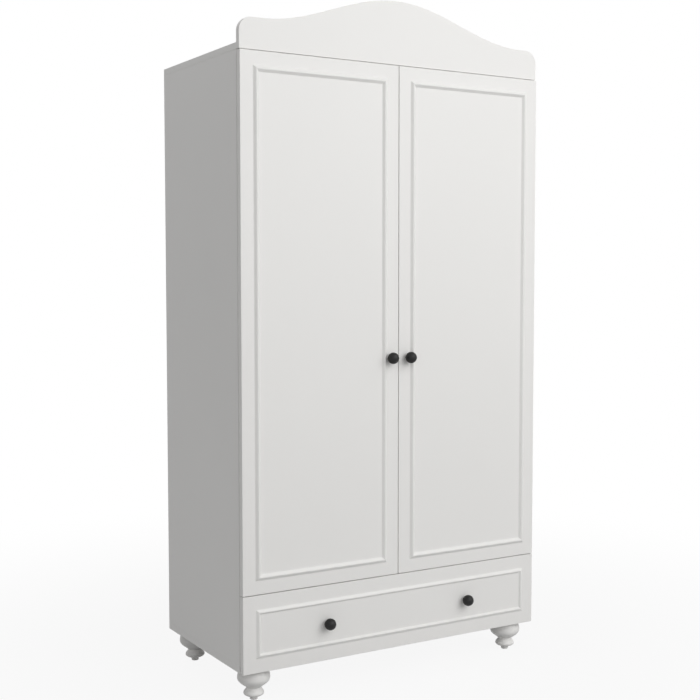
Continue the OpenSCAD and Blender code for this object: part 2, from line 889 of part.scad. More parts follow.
module knob_screw_hole(x, z) {
    rod_y([x, face_y - 1, z], knob_screw_r + eps, front_t + 2);
}

module door_panel(right) {
    color(white) on_side(right) difference() {
        block([-side_x, face_y, door_z0], [-side_x + door_w, front_back_y, door_z1]);
        for (z = hinge_zs)
            rod_y([-side_x + cup_inset, front_back_y - cup_depth - eps, z], cup_r, cup_depth + 1);
        at_cup_screws() screw_hole();
        knob_screw_hole(-knob_x, knob_z);
    }
}
module left_door_panel() {
    door_panel(false);
}
module right_door_panel() {
    door_panel(true);
}
module door_moulding(right) {
    color(white) on_side(right) translate([-side_x, 0, door_z0])
        bead_frame(door_w, door_h, door_bead_inset, door_bead_w, door_bead_h, door_bead_ridge);
}
module left_door_moulding() {
    door_moulding(false);
}
module right_door_moulding() {
    door_moulding(true);
}
module left_door_knob() {
    knob(-knob_x, knob_z);
}
module right_door_knob() {
    knob(knob_x, knob_z);
}
module left_knob_screw() {
    knob_screw(-knob_x, knob_z);
}
module right_knob_screw() {
    knob_screw(knob_x, knob_z);
}

// Soft buffers on the door's lower edge, which meet the divider
buffer_r = 3;
buffer_play = 0.3;
buffer_outer = 60;
buffer_inner = 20;
module door_buffers(right) {
    z = (door_z0 + divider_z + board_t) / 2;
    color(rubber) on_side(right) for (x = [-side_x + buffer_outer, -reveal / 2 - buffer_inner])
        rod_y([x, front_back_y, z], buffer_r, front_gap - buffer_play);
}
module left_door_buffers() {
    door_buffers(false);
}
module right_door_buffers() {
    door_buffers(true);
}

// ---------------------------------------------------------------- drawer

drawer_knob_z = foot_h + drawer_front_h / 2;
module drawer_front() {
    color(white) difference() {
        block([-side_x, face_y, foot_h], [side_x, front_back_y, foot_h + drawer_front_h]);
        both_sides() {
            at_drawer_front() cam_bolt_hole();
            knob_screw_hole(-drawer_knob_x, drawer_knob_z);
        }
        bottom_groove();
    }
}
module drawer_moulding() {
    color(white) translate([-side_x, 0, foot_h])
        bead_frame(case_w, drawer_front_h, drawer_bead_inset, drawer_bead_w, drawer_bead_h,
                   drawer_bead_ridge);
}
// The space of the drawer bottom's groove, in the front, the sides and the back
module bottom_groove() {
    block([-drawer_x + drawer_t - groove_d, front_back_y - groove_d, bottom_z],
          [drawer_x - drawer_t + groove_d, front_back_y + drawer_len - drawer_t + groove_d,
           bottom_z + bottom_t + bottom_play]);
}
module drawer_side(right) {
    color(white) on_side(right) difference() {
        block([-drawer_x, front_back_y, drawer_z0],
              [-drawer_x + drawer_t, front_back_y + drawer_len, drawer_z0 + drawer_side_h]);
        bottom_groove();
        at_drawer_front() cam_board_holes(drawer_t);
        at_inner_slide_screws() screw_hole(drawer_t - screw_skin);
        at_drawer_back_screws() {
            screw_hole(back_screw_len);
            translate([0, 0, -head_h]) cylinder(r = head_r + eps, h = head_h + 1);
        }
    }
}
module left_drawer_side() {
    drawer_side(false);
}
module right_drawer_side() {
    drawer_side(true);
}
module drawer_back() {
    x = drawer_x - drawer_t;
    y1 = front_back_y + drawer_len;
    color(white) difference() {
        block([-x, y1 - drawer_t, drawer_z0], [x, y1, drawer_z0 + drawer_side_h]);
        bottom_groove();
        both_sides() at_drawer_back_screws() screw_hole(back_screw_len);
    }
}
module drawer_bottom() {
    x = drawer_x - drawer_t + groove_d - bottom_play;
    color(hdf) block(
        [-x, front_back_y - groove_d + bottom_play, bottom_z],
        [x, front_back_y + drawer_len - drawer_t + groove_d - bottom_play, bottom_z + bottom_t]);
}
module left_drawer_knob() {
    knob(-drawer_knob_x, drawer_knob_z);
}
module right_drawer_knob() {
    knob(drawer_knob_x, drawer_knob_z);
}
module drawer_knob_screws() {
    knob_screw(-drawer_knob_x, drawer_knob_z);
    knob_screw(drawer_knob_x, drawer_knob_z);
}
module drawer_screws() {
    color(zinc) both_sides() {
        at_inner_slide_screws() translate([0, 0, slide_play + inner_sheet]) {
            cylinder(r = head_r, h = head_h);
            translate([0, 0, -inner_screw_len]) cylinder(r = screw_r, h = inner_screw_len);
        }
        at_drawer_back_screws() translate([0, 0, -head_h]) wood_screw(back_screw_len - head_h);
    }
}
module drawer_cam_bolts() {
    color(zinc) both_sides() at_drawer_front() cam_bolt();
}
module drawer_cam_locks() {
    color(zinc) both_sides() at_drawer_front() cam_lock(drawer_t);
}

// --------------------------------------------------------- drawer slides
// Three nested members of folded sheet. Each section is drawn with its web at
// the side panel: u is the distance from the panel, v the height from the axis.

inner_sheet = 1.2;
lip = 2.5;
mid_lip = lip - 0.5;
mouth_gap = 2.2;
outer_w = slide_w - mouth_gap;
half_h = slide_h / 2;
mid_u0 = slide_sheet + slide_gap;
mid_v = half_h - slide_sheet - slide_gap;
mid_u1 = outer_w - slide_sheet - slide_gap;
inner_u0 = mid_u0 + inner_sheet + slide_gap;
inner_v = mid_v - inner_sheet - slide_gap;
web_clear = 2;
inner_web_v = half_h - slide_sheet - lip - web_clear;
inner_screw_len = inner_sheet + slide_play + drawer_t - screw_skin;

// A channel open towards +u, with lips that turn inwards at its mouth
module channel(u0, u1, v, t, lip_v) {
    difference() {
        translate([u0, -v]) square([u1 - u0, 2 * v]);
        translate([u0 + t, -v + t]) square([u1 - u0 - 2 * t, 2 * (v - t)]);
        translate([u1 - t - 1, -v + t + lip_v]) square([t + 2, 2 * (v - t - lip_v)]);
    }
}
// Runs a section along the slide on the left side panel, from y0 over len
module slide_member(right, y0, len) {
    on_side(right) translate([-in_x, y0 + len, slide_z]) rotate([90, 0, 0])
        linear_extrude(len) children();
}
module slide_outer(right) {
    color(zinc) difference() {
        slide_member(right, slide_y0, slide_len) channel(0, outer_w, half_h, slide_sheet, lip);
        on_side(right) at_slide_screws() slide_screw_sink();
    }
}
module slide_middle(right) {
    color(steel) slide_member(right, slide_y0 + middle_short, slide_len - 2 * middle_short)
        channel(mid_u0, mid_u1, mid_v, inner_sheet, mid_lip);
}
// The inner member is screwed to the drawer and ends in turned-out lips
module slide_inner(right) {
    color(zinc) difference() {
        slide_member(right, slide_y0, slide_len) {
            difference() {
                translate([inner_u0, -inner_web_v]) square([slide_w - inner_u0, 2 * inner_web_v]);
                translate([inner_u0 - 1, -inner_web_v + inner_sheet])
                    square([slide_w - inner_u0 - inner_sheet + 1, 2 * (inner_web_v - inner_sheet)]);
            }
            for (s = [-1, 1]) translate([inner_u0, s > 0 ? inner_web_v - inner_sheet : -inner_v])
                square([inner_sheet, inner_v - inner_web_v + inner_sheet]);
        }
        on_side(right) at_inner_slide_screws()
            translate([0, 0, -1]) cylinder(r = screw_r + eps, h = slide_w);
    }
}
module left_slide_outer() {
    slide_outer(false);
}
module right_slide_outer() {
    slide_outer(true);
}
module left_slide_middle() {
    slide_middle(false);
}
module right_slide_middle() {
    slide_middle(true);
}
module left_slide_inner() {
    slide_inner(false);
}
module right_slide_inner() {
    slide_inner(true);
}

left_side_panel();
right_side_panel();
top_panel();
base_panel();
drawer_divider();
hat_shelf();
back_panel();
crown_board();
crown_brackets();
hanging_rail();
rail_sockets();
shelf_pins();
front_left_foot();
front_right_foot();
rear_left_foot();
rear_right_foot();
foot_studs();
foot_nuts();
cam_bolts();
cam_locks();
wood_dowels();
panel_screws();
back_nails();
hinge_plates();
hinge_arms();
hinge_arm_screws();
left_slide_outer();
right_slide_outer();
left_door_panel();
left_door_moulding();
left_door_knob();
left_knob_screw();
left_hinge_cups();
left_cup_screws();
left_door_buffers();
right_door_panel();
right_door_moulding();
right_door_knob();
right_knob_screw();
right_hinge_cups();
right_cup_screws();
right_door_buffers();
left_slide_middle();
right_slide_middle();
drawer_front();
drawer_moulding();
left_drawer_side();
right_drawer_side();
drawer_back();
drawer_bottom();
left_drawer_knob();
right_drawer_knob();
drawer_knob_screws();
left_slide_inner();
right_slide_inner();
drawer_screws();
drawer_cam_bolts();
drawer_cam_locks();
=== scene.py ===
import math

import bmesh
import bpy
import numpy as np
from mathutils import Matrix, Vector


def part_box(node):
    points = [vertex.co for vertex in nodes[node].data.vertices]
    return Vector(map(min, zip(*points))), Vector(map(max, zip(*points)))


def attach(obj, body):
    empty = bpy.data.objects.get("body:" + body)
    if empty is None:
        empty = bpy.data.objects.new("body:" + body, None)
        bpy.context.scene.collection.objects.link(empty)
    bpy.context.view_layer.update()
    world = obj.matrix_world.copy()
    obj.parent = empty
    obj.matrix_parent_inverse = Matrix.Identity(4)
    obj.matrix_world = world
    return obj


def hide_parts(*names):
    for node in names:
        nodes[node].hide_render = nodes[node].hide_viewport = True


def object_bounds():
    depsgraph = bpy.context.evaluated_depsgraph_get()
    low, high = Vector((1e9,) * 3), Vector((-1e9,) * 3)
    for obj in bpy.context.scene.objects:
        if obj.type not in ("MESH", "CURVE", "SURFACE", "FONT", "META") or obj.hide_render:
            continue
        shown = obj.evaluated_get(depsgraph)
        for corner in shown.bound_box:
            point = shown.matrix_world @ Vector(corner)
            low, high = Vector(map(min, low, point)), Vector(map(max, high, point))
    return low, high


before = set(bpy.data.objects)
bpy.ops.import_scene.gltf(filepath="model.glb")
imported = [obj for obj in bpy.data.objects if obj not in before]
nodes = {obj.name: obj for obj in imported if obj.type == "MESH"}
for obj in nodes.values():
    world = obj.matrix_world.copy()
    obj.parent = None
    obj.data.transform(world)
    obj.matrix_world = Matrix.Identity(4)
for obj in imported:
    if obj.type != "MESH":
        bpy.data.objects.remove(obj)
cad_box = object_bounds()
low = cad_box[0]
MM = 0.001

# --- Camera ---------------------------------------------------------------
# It stands to the left in front of the wardrobe, a little above the middle of
# its height, and looks slightly down across the doors to the right side.
eye = (-1.8924, -3.1270, 1.1696)
turned_right = 0.5474
tipped_down = 0.0614
focal_length = 61.77
lens = bpy.data.cameras.new("camera")
lens.sensor_width = 36.0
lens.lens = focal_length
lens.shift_x = -0.0127
lens.shift_y = 0.0010
lens.clip_end = 200.0
camera = bpy.data.objects.new("camera", lens)
camera.location = eye
camera.rotation_euler = (math.pi / 2 - tipped_down, 0.0, -turned_right)
bpy.context.scene.collection.objects.link(camera)
bpy.context.scene.camera = camera

# --- Room -----------------------------------------------------------------
# A pale floor that fades into a white backdrop, an even dim light from all
# round, a large soft lamp in front, high on the right, a weaker one on the left, and a
# small one above the left side.
bpy.context.scene.view_settings.view_transform = "Standard"


def add_node(tree, kind, **settings):
    """Adds a shader node; settings are its properties, or its inputs by name."""
    made = tree.nodes.new(kind)
    for key, value in settings.items():
        socket = made.inputs.get(key.replace("_", " "))
        if hasattr(made, key):
            setattr(made, key, value)
        else:
            socket.default_value = value
    return made


def seen_directly(tree):
    """Puts out 1 for camera, glossy and transmission rays, and 0 for diffuse ones."""
    path = add_node(tree, "ShaderNodeLightPath")
    either = add_node(tree, "ShaderNodeMath", operation="MAXIMUM")
    all_three = add_node(tree, "ShaderNodeMath", operation="MAXIMUM")
    tree.links.new(path.outputs["Is Camera Ray"], either.inputs[0])
    tree.links.new(path.outputs["Is Glossy Ray"], either.inputs[1])
    tree.links.new(either.outputs[0], all_three.inputs[0])
    tree.links.new(path.outputs["Is Transmission Ray"], all_three.inputs[1])
    return all_three.outputs[0]


room_light = 0.380
world = bpy.data.worlds.new("room")
world.use_nodes = True
tree = world.node_tree
tree.nodes.clear()
dim = add_node(tree, "ShaderNodeBackground", Color=(1, 1, 1, 1), Strength=room_light)
white = add_node(tree, "ShaderNodeBackground", Color=(1, 1, 1, 1), Strength=1.0)
choose = add_node(tree, "ShaderNodeMixShader")
out = add_node(tree, "ShaderNodeOutputWorld")
tree.links.new(seen_directly(tree), choose.inputs[0])
tree.links.new(dim.outputs[0], choose.inputs[1])
tree.links.new(white.outputs[0], choose.inputs[2])
tree.links.new(choose.outputs[0], out.inputs[0])
bpy.context.scene.world = world

fade_start, fade_end = 0.5, 2.6
glow_at_feet = 0.91
floor_mat = bpy.data.materials.new("pale floor")
floor_mat.use_nodes = True
tree = floor_mat.node_tree
tree.nodes.clear()
paint = add_node(tree, "ShaderNodeBsdfDiffuse", Color=(0.50, 0.50, 0.50, 1))
glow = add_node(tree, "ShaderNodeEmission", Color=(1, 1, 1, 1), Strength=1.0)
where = add_node(tree, "ShaderNodeTexCoord")
length = add_node(tree, "ShaderNodeVectorMath", operation="LENGTH")
fade = add_node(tree, "ShaderNodeMapRange", interpolation_type="SMOOTHSTEP")
fade.inputs["From Min"].default_value = fade_start
fade.inputs["From Max"].default_value = fade_end
fade.inputs["To Min"].default_value = glow_at_feet
fade.inputs["To Max"].default_value = 1.0
share = add_node(tree, "ShaderNodeMath", operation="MULTIPLY")
mix = add_node(tree, "ShaderNodeMixShader")
out = add_node(tree, "ShaderNodeOutputMaterial")
tree.links.new(where.outputs["Object"], length.inputs[0])
tree.links.new(length.outputs["Value"], fade.inputs["Value"])
tree.links.new(fade.outputs["Result"], share.inputs[0])
tree.links.new(seen_directly(tree), share.inputs[1])
tree.links.new(share.outputs[0], mix.inputs[0])
tree.links.new(paint.outputs[0], mix.inputs[1])
tree.links.new(glow.outputs[0], mix.inputs[2])
tree.links.new(mix.outputs[0], out.inputs[0])

floor_half = 30.0
floor_mesh = bpy.data.meshes.new("floor")
corners = [
    (x * floor_half, y * floor_half, low.z)
    for x, y in ((-1, -1), (1, -1), (1, 1), (-1, 1))
]
floor_mesh.from_pydata(corners, [], [(0, 1, 2, 3)])
floor_mesh.materials.append(floor_mat)
floor = bpy.data.objects.new("floor", floor_mesh)
bpy.context.scene.collection.objects.link(floor)


doors_middle = (0.0, low.y, 1.1)


def soft_lamp(name, size, energy, location):
    """A square area lamp, size in metres and energy in watts, that looks at the
    middle of the doors."""
    light = bpy.data.lights.new(name, "AREA")
    light.shape = "SQUARE"
    light.size = size
    light.energy = energy
    lamp = bpy.data.objects.new(name, light)
    lamp.location = location
    aim = np.array(doors_middle) - np.array(location)
    lamp.rotation_euler = (
        math.acos(-aim[2] / np.linalg.norm(aim)),
        0.0,
        math.atan2(aim[1], aim[0]) - math.pi / 2,
    )
    bpy.context.scene.collection.objects.link(lamp)


soft_lamp("main lamp", size=4.0, energy=122.5, location=(1.6, -3.9, 3.2))
soft_lamp("fill lamp", size=3.0, energy=20.0, location=(-1.6, -4.2, 2.5))
soft_lamp("side lamp", size=1.5, energy=4.0, location=(-1.2, 0.2, 3.4))

# --- Side panels, top, base, divider and shelf ----------------------------
# 18 mm chipboard with a white melamine face, finely pearled, and thin edge
# bands whose corners are rounded over. Drilled for dowels, cams and pins.


def new_group(name, inputs, outputs):
    """An empty shader group with named inputs (kind, default) and outputs (kind)."""
    group = bpy.data.node_groups.new(name, "ShaderNodeTree")
    for label, (kind, default) in inputs.items():
        made = group.interface.new_socket(label, in_out="INPUT", socket_type=kind)
        made.default_value = default
    for label, kind in outputs.items():
        group.interface.new_socket(label, in_out="OUTPUT", socket_type=kind)
    return group, group.nodes.new("NodeGroupInput"), group.nodes.new("NodeGroupOutput")


FLOAT, COLOR = "NodeSocketFloat", "NodeSocketColor"

# Surface of a coated board: a fine noise gives the height, a broad one shifts the
# colour a little, and one between them the gloss.
coating, coat_in, coat_out = new_group(
    "coating relief",
    {
        "Color": (COLOR, (0.8, 0.8, 0.8, 1)),
        "Shade": (FLOAT, 0.02),
        "Grain Size": (FLOAT, 0.002),
        "Roughness": (FLOAT, 0.4),
        "Gloss Change": (FLOAT, 0.05),
    },
    {"Color": COLOR, "Roughness": FLOAT, "Height": FLOAT},
)
spot = add_node(coating, "ShaderNodeTexCoord")
inverse = add_node(coating, "ShaderNodeMath", operation="DIVIDE")
inverse.inputs[0].default_value = 1.0
coating.links.new(coat_in.outputs["Grain Size"], inverse.inputs[1])
fine = add_node(coating, "ShaderNodeTexNoise", Detail=1.5, Roughness=0.55)
coating.links.new(spot.outputs["Object"], fine.inputs["Vector"])
coating.links.new(inverse.outputs[0], fine.inputs["Scale"])
coating.links.new(fine.outputs["Fac"], coat_out.inputs["Height"])
broad = add_node(coating, "ShaderNodeTexNoise", Scale=2.3, Detail=3.0, Roughness=0.5)
coating.links.new(spot.outputs["Object"], broad.inputs["Vector"])
swing = add_node(coating, "ShaderNodeMath", operation="SUBTRACT")
swing.inputs[1].default_value = 0.5
coating.links.new(broad.outputs["Fac"], swing.inputs[0])
amount = add_node(coating, "ShaderNodeMath", operation="MULTIPLY_ADD")
amount.inputs[2].default_value = 1.0
coating.links.new(swing.outputs[0], amount.inputs[0])
coating.links.new(coat_in.outputs["Shade"], amount.inputs[1])
tinted = add_node(coating, "ShaderNodeVectorMath", operation="SCALE")
coating.links.new(coat_in.outputs["Color"], tinted.inputs[0])
coating.links.new(amount.outputs[0], tinted.inputs["Scale"])
coating.links.new(tinted.outputs[0], coat_out.inputs["Color"])
patches = add_node(coating, "ShaderNodeTexNoise", Scale=9.0, Detail=4.0, Roughness=0.6)
coating.links.new(spot.outputs["Object"], patches.inputs["Vector"])
centred = add_node(coating, "ShaderNodeMath", operation="SUBTRACT")
centred.inputs[1].default_value = 0.5
coating.links.new(patches.outputs["Fac"], centred.inputs[0])
gloss = add_node(coating, "ShaderNodeMath", operation="MULTIPLY_ADD")
coating.links.new(centred.outputs[0], gloss.inputs[0])
coating.links.new(coat_in.outputs["Gloss Change"], gloss.inputs[1])
coating.links.new(coat_in.outputs["Roughness"], gloss.inputs[2])
coating.links.new(gloss.outputs[0], coat_out.inputs["Roughness"])


def coated(name, color, shade, grain, depth, roughness, change, **shader_inputs):
    """A painted or faced surface: shade is how far its colour wanders, grain and
    depth are the relief's width and height, and change is the wander of its gloss."""
    mat = bpy.data.materials.new(name)
    mat.use_nodes = True
    tree = mat.node_tree
    shader = tree.nodes["Principled BSDF"]
    for key, value in shader_inputs.items():
        shader.inputs[key.replace("_", " ")].default_value = value
    relief = add_node(tree, "ShaderNodeGroup", node_tree=coating)
    relief.inputs["Color"].default_value = (*color, 1)
    relief.inputs["Shade"].default_value = shade
    relief.inputs["Grain Size"].default_value = grain
    relief.inputs["Roughness"].default_value = roughness
    relief.inputs["Gloss Change"].default_value = change
    bump = add_node(tree, "ShaderNodeBump", Strength=1.0, Distance=depth)
    tree.links.new(relief.outputs["Color"], shader.inputs["Base Color"])
    tree.links.new(relief.outputs["Roughness"], shader.inputs["Roughness"])
    tree.links.new(relief.outputs["Height"], bump.inputs["Height"])
    tree.links.new(bump.outputs["Normal"], shader.inputs["Normal"])
    return mat


def eased_board(node, body, material, radius, cut_ends=1.0):
    """The board with its outer edges rounded: a copy of its mesh, merged, its flat
    triangles joined, and the twelve edges of its own box given a Bevel. Edges across
    the board's length are rounded to the share cut_ends of the radius. The flat faces
    keep their own normals up to the rounding."""
    merge_within, coplanar_angle, near = 1e-6, 0.002, 1e-5
    crease_angle = math.radians(30)
    mesh = nodes[node].data.copy()
    box_low, box_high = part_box(node)
    extent = box_high - box_low
    length_axis = max(range(3), key=lambda i: extent[i])
    work = bmesh.new()
    work.from_mesh(mesh)
    bmesh.ops.remove_doubles(work, verts=work.verts, dist=merge_within)
    bmesh.ops.dissolve_limit(
        work, angle_limit=coplanar_angle, verts=work.verts, edges=work.edges
    )
    weight = work.edges.layers.float.new("bevel_weight_edge")
    for edge in work.edges:
        a, b = (v.co for v in edge.verts)
        shared = sum(
            (abs(a[i] - face[i]) < near and abs(b[i] - face[i]) < near)
            for i in range(3)
            for face in (box_low, box_high)
        )
        on_box_edge = shared >= 2
        lengthwise = abs((a - b).normalized()[length_axis]) > 0.9
        edge[weight] = (1.0 if lengthwise else cut_ends) if on_box_edge else 0.0
        edge.smooth = on_box_edge or edge.calc_face_angle(0.0) < crease_angle
    for face in work.faces:
        face.smooth = True
    work.to_mesh(mesh)
    work.free()
    mesh.materials.clear()
    mesh.materials.append(material)
    board = bpy.data.objects.new("eased_" + node, mesh)
    bpy.context.scene.collection.objects.link(board)
    bevel = board.modifiers.new("rounded edges", "BEVEL")
    bevel.limit_method = "WEIGHT"
    bevel.width = radius
    bevel.segments = 3
    flats = board.modifiers.new("flats stay flat", "WEIGHTED_NORMAL")
    flats.keep_sharp = True
    flats.weight = 100
    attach(board, body)
    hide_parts(node)
    return board


melamine = coated(
    "white melamine",
    (0.846, 0.838, 0.822),
    shade=0.03,
    grain=0.6 * MM,
    depth=0.02 * MM,
    roughness=0.42,
    change=0.08,
)
for node, edge_radius in (
    ("left_side_panel", 3.0 * MM),
    ("right_side_panel", 3.0 * MM),
    ("top_panel", 1.5 * MM),
    ("base_panel", 1.5 * MM),
    ("drawer_divider", 1.5 * MM),
    ("hat_shelf", 1.5 * MM),
):
    eased_board(node, "carcass", melamine, edge_radius, cut_ends=0.2)

# --- Back panel -----------------------------------------------------------
# One sheet of 3 mm hardboard nailed to the carcass, white inside. Its rear is
# the bare brown board, pressed smooth with short fibres in it.


def fibre_board(name, color, dark):
    """Bare fibre board: stretched noise draws the fibres, and a broad one the clouds."""
    mat = bpy.data.materials.new(name)
    mat.use_nodes = True
    tree = mat.node_tree
    shader = tree.nodes["Principled BSDF"]
    shader.inputs["Roughness"].default_value = 0.7
    spot = add_node(tree, "ShaderNodeTexCoord")
    stretch = add_node(tree, "ShaderNodeMapping", Scale=(1.0, 1.0, 0.25))
    fibres = add_node(tree, "ShaderNodeTexNoise", Scale=900.0, Detail=3.0, Roughness=0.7)
    clouds = add_node(tree, "ShaderNodeTexNoise", Scale=14.0, Detail=4.0, Roughness=0.6)
    both = add_node(tree, "ShaderNodeMix", data_type="FLOAT")
    both.inputs[0].default_value = 0.35
    ramp = add_node(tree, "ShaderNodeValToRGB")
    ramp.color_ramp.elements[0].position = 0.30
    ramp.color_ramp.elements[0].color = (*dark, 1)
    ramp.color_ramp.elements[1].position = 0.66
    ramp.color_ramp.elements[1].color = (*color, 1)
    bump = add_node(tree, "ShaderNodeBump", Strength=1.0, Distance=0.03 * MM)
    tree.links.new(spot.outputs["Object"], stretch.inputs["Vector"])
    tree.links.new(stretch.outputs["Vector"], fibres.inputs["Vector"])
    tree.links.new(spot.outputs["Object"], clouds.inputs["Vector"])
    tree.links.new(fibres.outputs["Fac"], both.inputs[2])
    tree.links.new(clouds.outputs["Fac"], both.inputs[3])
    tree.links.new(both.outputs[0], ramp.inputs["Fac"])
    tree.links.new(ramp.outputs["Color"], shader.inputs["Base Color"])
    tree.links.new(fibres.outputs["Fac"], bump.inputs["Height"])
    tree.links.new(bump.outputs["Normal"], shader.inputs["Normal"])
    return mat


bare_rear = fibre_board("bare hardboard", (0.36, 0.24, 0.145), (0.22, 0.135, 0.075))
white_face = coated(
    "white hardboard face",
    (0.80, 0.795, 0.78),
    shade=0.04,
    grain=0.9 * MM,
    depth=0.015 * MM,
    roughness=0.5,
    change=0.08,
)
back = eased_board("back_panel", "carcass", white_face, 0.3 * MM)
back.data.materials.append(bare_rear)
for face in back.data.polygons:
    if face.normal.y > 0.5:
        face.material_index = 1

# --- Crown board ----------------------------------------------------------
# An 18 mm board sprayed white, sawn to an arch between two flat shoulders,
# with rounded corners and eased edges. It stands on the top panel's front.


def link_mesh(name, points, faces, material, smooth_below=35.0):
    """Makes a mesh object from points and faces; creases sharper than the angle stay."""
    mesh = bpy.data.meshes.new(name)
    mesh.from_pydata(np.asarray(points, float).tolist(), [], faces)
    work = bmesh.new()
    work.from_mesh(mesh)
    bmesh.ops.remove_doubles(work, verts=work.verts, dist=1e-7)
    bmesh.ops.recalc_face_normals(work, faces=work.faces)
    for face in work.faces:
        face.smooth = True
    for edge in work.edges:
        edge.smooth = edge.calc_face_angle(0.0) < math.radians(smooth_below)
    work.to_mesh(mesh)
    work.free()
    mesh.materials.append(material)
    made = bpy.data.objects.new(name, mesh)
    bpy.context.scene.collection.objects.link(made)
    return made


lacquer = coated(
    "white satin lacquer",
    (0.856, 0.848, 0.830),
    shade=0.025,
    grain=1.6 * MM,
    depth=0.012 * MM,
    roughness=0.46,
    change=0.06,
)

crown_low, crown_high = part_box("crown_board")
shoulder, corner_r, flat, edge_r = 85 * MM, 38 * MM, 27 * MM, 1.5 * MM
half_w = crown_high.x
arch_half = half_w - corner_r - flat
rise = crown_high.z - crown_low.z - shoulder


def crown_outline():
    """Outline in X and Z from the lower left to the lower right corner: a quarter
    circle, one wave of a cosine, and the other quarter circle."""
    turn = np.linspace(0.0, math.pi / 2, 13)
    across = np.linspace(-arch_half, arch_half, 121)
    arch = shoulder + rise * (1 + np.cos(math.pi * across / arch_half)) / 2
    inset, drop = corner_r * (1 - np.cos(turn)), corner_r * (1 - np.sin(turn))
    left = np.stack([-half_w + inset, shoulder - drop], 1)
    middle = np.stack([across, arch], 1)
    right = left[::-1] * (-1, 1)
    ends = np.array([[-half_w, 0.0]]), np.array([[half_w, 0.0]])
    return np.concatenate([ends[0], left, middle, right, ends[1]])


line = crown_outline()
count = len(line)
crown_points = np.concatenate(
    [
        np.stack([line[:, 0], np.full(count, y), crown_low.z + line[:, 1]], 1)
        for y in (crown_low.y, crown_high.y)
    ]
)
crown_faces = [tuple(range(count)), tuple(range(2 * count - 1, count - 1, -1))]
crown_faces += [
    (i, i + count, (i + 1) % count + count, (i + 1) % count) for i in range(count)
]
crown = link_mesh("arched_crown", crown_points, crown_faces, lacquer)
for edge in crown.data.edges:
    edge.use_edge_sharp = False
ease = crown.modifiers.new("eased edges", "BEVEL")
ease.limit_method = "ANGLE"
ease.angle_limit = math.radians(40)
ease.width = edge_r
ease.segments = 4
ease.harden_normals = True
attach(crown, "carcass")
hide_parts("crown_board")

# --- Door panels and drawer front -----------------------------------------
# 18 mm fibre board sprayed white all round, with eased edges. The doors have
# three round pockets each at the back for the hinge cups.
for node, body in (
    ("left_door_panel", "left_door"),
    ("right_door_panel", "right_door"),
    ("drawer_front", "drawer"),
):
    eased_board(node, body, lacquer, 1.5 * MM)

# --- Bead mouldings -------------------------------------------------------
# A round bead with hollow sides, broader on the doors than on the drawer, cut
# into four mitred strips and glued to each front as a frame before it is sprayed.
mitre_gap = 0.05 * MM


def bead_strip(corner, along, inward, length, height, bead_w, ridge):
    """One strip from its outer corner: across it the height is half a cosine wave on
    each side of the ridge, and both ends are cut at 45 degrees."""
    s = np.linspace(0.0, 1.0, 41)
    across = bead_w * np.where(s < 0.5, 2 * s * ridge, 1 - 2 * (1 - s) * (1 - ridge))
    rise = height * (1 - np.cos(2 * math.pi * s)) / 2
    start = across + mitre_gap
    stop = length - across - mitre_gap
    corner, along, inward = (np.array(v, float) for v in (corner, along, inward))
    out_of_front = np.array((0.0, -1.0, 0.0))
    rows = [
        corner
        + end[:, None] * along
        + across[:, None] * inward
        + rise[:, None] * out_of_front
        for end in (start, stop)
    ]
    n = len(s)
    faces = [(i, i + 1, i + 1 + n, i + n) for i in range(n - 1)]
    faces += [(0, n, 2 * n - 1, n - 1), tuple(range(n)), tuple(range(2 * n - 1, n - 1, -1))]
    return np.concatenate(rows), faces


def bead_frame(name, node, body, bead_w, ridge):
    """Four strips round the box of the CAD moulding."""
    box_low, box_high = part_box(node)
    face_y, height = box_high.y, box_high.y - box_low.y
    width, tall = box_high.x - box_low.x, box_high.z - box_low.z
    x0, x1, z0, z1 = box_low.x, box_high.x, box_low.z, box_high.z
    strips = (
        ((x0, face_y, z0), (1, 0, 0), (0, 0, 1), width),
        ((x1, face_y, z0), (0, 0, 1), (-1, 0, 0), tall),
        ((x1, face_y, z1), (-1, 0, 0), (0, 0, -1), width),
        ((x0, face_y, z1), (0, 0, -1), (1, 0, 0), tall),
    )
    points, faces = [], []
    for corner, along, inward, length in strips:
        strip_points, strip_faces = bead_strip(
            corner, along, inward, length, height, bead_w, ridge
        )
        offset = sum(len(p) for p in points)
        points.append(strip_points)
        faces += [tuple(i + offset for i in f) for f in strip_faces]
    bead = link_mesh(name, np.concatenate(points), faces, lacquer)
    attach(bead, body)
    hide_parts(node)


bead_frame("left_door_bead", "left_door_moulding", "left_door", 20 * MM, 0.5)
bead_frame("right_door_bead", "right_door_moulding", "right_door", 20 * MM, 0.5)
bead_frame("drawer_bead", "drawer_moulding", "drawer", 16 * MM, 0.6)

# --- Knobs ----------------------------------------------------------------
# Turned wooden balls on a short waisted neck with a small foot, dipped in
# satin black lacquer, each held by a screw from behind.


def turned(name, radius, height, centre, up, material):
    """Surface of revolution: profile point (radius, height) goes round the axis
    up through centre at 96 even angles."""
    angle = np.linspace(0.0, 2 * math.pi, 96, endpoint=False)
    up = np.array(up, float)
    side = np.array((1.0, 0.0, 0.0))
    other = np.cross(up, side)
    ring = np.cos(angle)[:, None] * side + np.sin(angle)[:, None] * other
    grid = (
        np.array(centre, float)
        + radius[:, None, None] * ring[None]
        + height[:, None, None] * up
    )
    rows, cols = grid.shape[:2]
    i, j = np.meshgrid(np.arange(rows - 1), np.arange(cols), indexing="ij")
    k = (j + 1) % cols
    below, above = i * cols, (i + 1) * cols
    quads = np.stack([below + j, below + k, above + k, above + j], -1)
    return link_mesh(name, grid.reshape(-1, 3), quads.reshape(-1, 4).tolist(), material)


